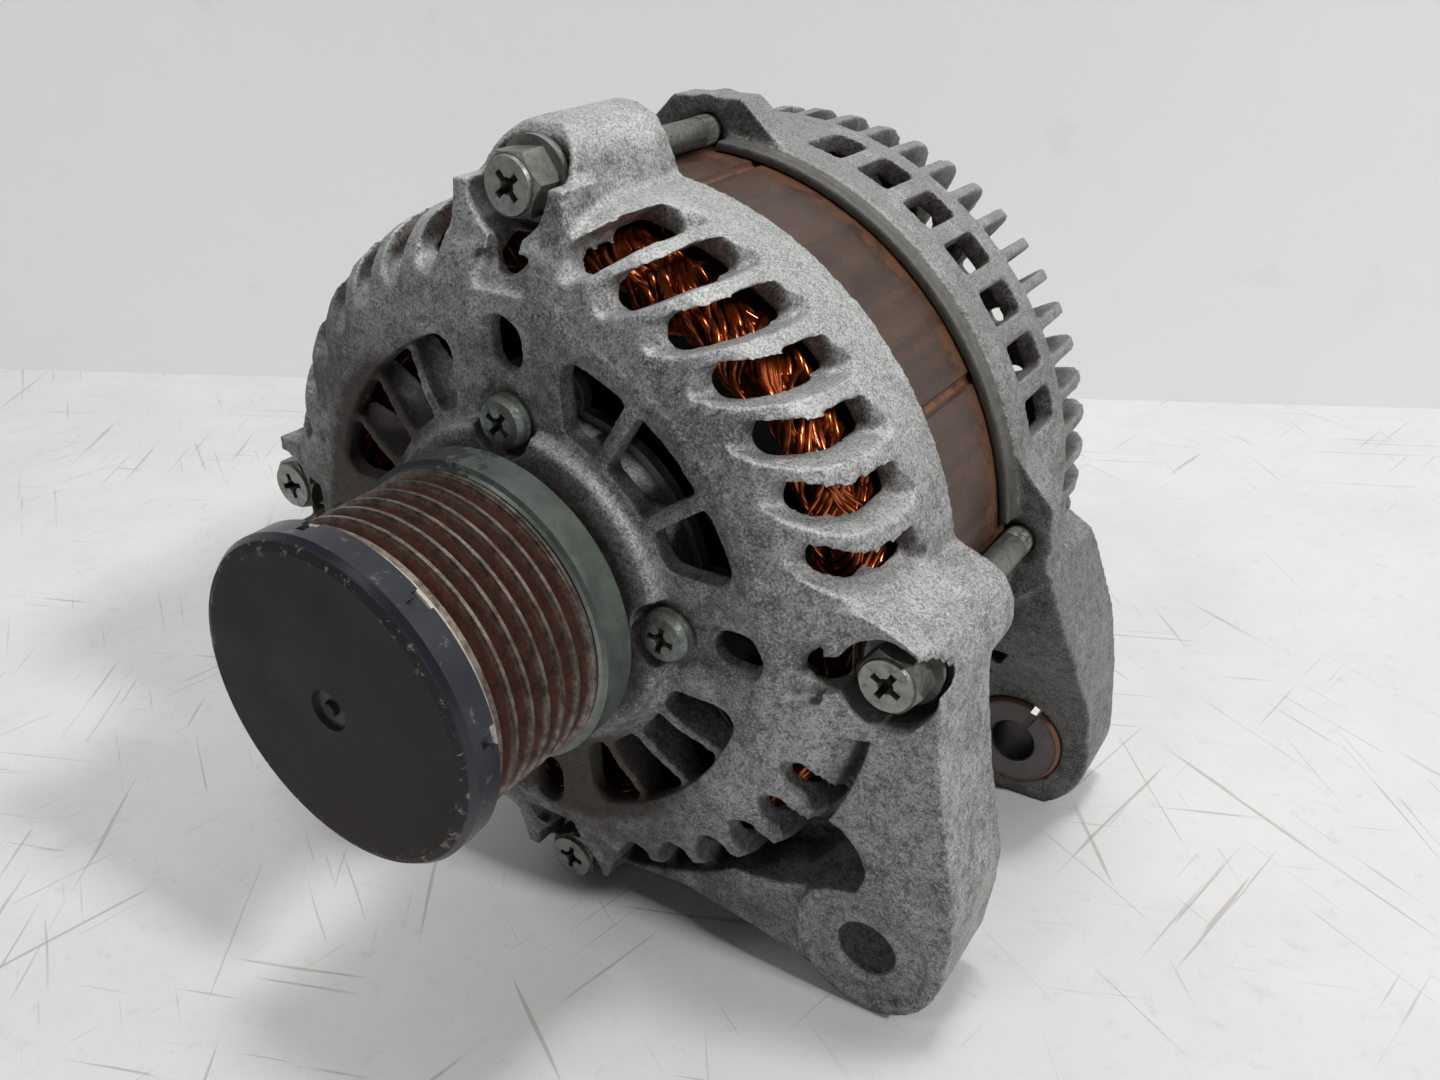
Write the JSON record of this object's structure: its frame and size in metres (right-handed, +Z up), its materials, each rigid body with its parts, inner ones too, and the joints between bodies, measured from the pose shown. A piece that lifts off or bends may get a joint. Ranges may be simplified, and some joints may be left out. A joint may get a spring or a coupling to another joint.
{
  "type": "car alternator",
  "caption": "Car alternator with slotted cast brackets, exposed stator, ribbed one-way belt pulley and two mounting lugs.",
  "frame": {"origin": "on the rotor axis, in the middle of the belt grooves", "axes": "+Y along the rotor axis from the pulley to the rear bracket; +Z up with the part standing on its lugs; +X towards the lug side"},
  "size_m": [0.1587, 0.172, 0.1506],
  "materials": {
    "black_plastic": "matt moulded plastic, dusty",
    "rusty_steel": "bare steel, brown rust in the grooves, rubbed shiny on the crests",
    "bearing_steel": "ground steel",
    "zinc_plate": "zinc plated steel, dulled",
    "pole_iron": "forged iron",
    "copper_wire": "enamelled copper wire",
    "insulation": "beige insulation",
    "fan_steel": "pressed sheet steel",
    "brass": "brass and copper",
    "creep_sleeve": "hard plastic sleeve",
    "cast_aluminium": "die-cast aluminium, oxidised and grimy",
    "varnished_laminations": "rust-brown varnished steel laminations",
    "carbon": "pressed carbon",
    "bush_steel": "dull steel with rust at its edge"
  },
  "bodies": {
    "housing": {"front_bracket": "cast_aluminium", "rear_bracket": "cast_aluminium", "stator_core": "varnished_laminations", "stator_winding": "copper_wire", "slot_insulation": "insulation", "winding_shield": "insulation", "through_bolts": "zinc_plate", "bearing_retainer": "zinc_plate", "retainer_screws": "zinc_plate", "front_bearing_outer": "bearing_steel", "rear_bearing_outer": "bearing_steel", "rear_bearing_sleeve": "creep_sleeve", "positive_heat_sink": "cast_aluminium", "negative_heat_sink": "cast_aluminium", "diodes": "bearing_steel", "terminal_block": "black_plastic", "voltage_regulator": "black_plastic", "brush_holder": "black_plastic", "spring_front": "bearing_steel", "spring_rear": "bearing_steel", "rear_screws": "zinc_plate", "output_stud": "zinc_plate", "output_nut": "zinc_plate", "output_insulator": "black_plastic", "plug_socket": "black_plastic", "plug_pins": "brass"},
    "rotor": {"rotor_shaft": "bearing_steel", "spacer_collar": "bearing_steel", "claw_pole_front": "pole_iron", "claw_pole_rear": "pole_iron", "field_coil": "copper_wire", "coil_bobbin": "insulation", "front_fan": "fan_steel", "rear_fan": "fan_steel", "slip_rings": "brass", "front_bearing_inner": "bearing_steel", "rear_bearing_inner": "bearing_steel", "pulley_hub": "bearing_steel", "pulley_flange": "zinc_plate", "clutch_rollers": "bearing_steel", "pulley_bearings": "bearing_steel"},
    "pulley": {"pulley_ring": "rusty_steel", "pulley_cap": "black_plastic"},
    "front_cage": {"front_bearing_balls": "bearing_steel", "front_bearing_cage": "brass"},
    "rear_cage": {"rear_bearing_balls": "bearing_steel", "rear_bearing_cage": "brass"},
    "front_brush": {"brush_front": "carbon"},
    "rear_brush": {"brush_rear": "carbon"},
    "bush": {"split_bush": "bush_steel"}
  },
  "joints": [
    {"name": "rotor_spin", "type": "hinge", "parent": "housing", "child": "rotor", "pos_m": [0, 0, 0], "axis": [0, 1, 0], "continuous": true},
    {"name": "pulley_overrun", "type": "hinge", "parent": "rotor", "child": "pulley", "pos_m": [0, 0, 0], "axis": [0, 1, 0], "continuous": true},
    {"name": "front_cage_spin", "type": "hinge", "parent": "housing", "child": "front_cage", "pos_m": [0, 0, 0], "axis": [0, 1, 0], "continuous": true},
    {"name": "rear_cage_spin", "type": "hinge", "parent": "housing", "child": "rear_cage", "pos_m": [0, 0, 0], "axis": [0, 1, 0], "continuous": true},
    {"name": "front_brush_slide", "type": "slide", "parent": "housing", "child": "front_brush", "axis": [0, 0, 1], "range_m": [0, 0.003], "deforming": ["spring_front"]},
    {"name": "rear_brush_slide", "type": "slide", "parent": "housing", "child": "rear_brush", "axis": [0, 0, 1], "range_m": [0, 0.003], "deforming": ["spring_rear"]},
    {"name": "bush_slide", "type": "slide", "parent": "housing", "child": "bush", "axis": [0, -1, 0], "range_m": [0, 0.003]}
  ],
  "couplings": [
    {"joint": "front_cage_spin", "follows": "rotor_spin", "ratio": 0.35625},
    {"joint": "rear_cage_spin", "follows": "rotor_spin", "ratio": 0.372}
  ]
}
